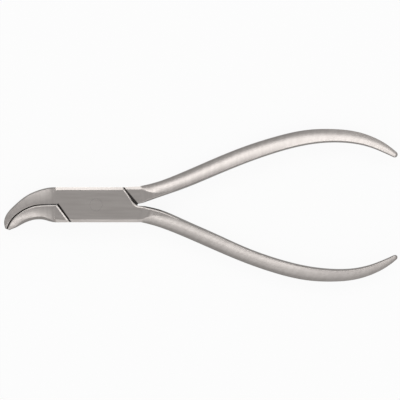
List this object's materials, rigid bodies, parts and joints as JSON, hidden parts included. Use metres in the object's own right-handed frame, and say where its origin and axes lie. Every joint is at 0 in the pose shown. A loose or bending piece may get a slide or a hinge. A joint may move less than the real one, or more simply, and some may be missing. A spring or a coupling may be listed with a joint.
{
  "type": "contouring pliers",
  "caption": "Dental contouring pliers with curved convex and concave beaks, a box joint on a flush pin, and long bowed handles.",
  "frame": {"origin": "on the pivot pin's axis, at the flat back face of the joint", "axes": "+X from the beaks to the handles, +Y to the upper handle, +Z along the pivot pin to the front face"},
  "size_m": [0.1401, 0.0548, 0.008],
  "materials": {
    "half_steel": "satin, fine blasted and brushed",
    "pin_steel": "ground flush, satin"
  },
  "bodies": {
    "box_half": {"box_half": "half_steel", "pivot_pin": "pin_steel"},
    "tenon_half": {"tenon_half": "half_steel"}
  },
  "joints": [
    {"name": "box_joint", "type": "hinge", "parent": "box_half", "child": "tenon_half", "pos_m": [0, 0, 0.004], "axis": [0, 0, 1], "range_deg": [0, 35]}
  ]
}
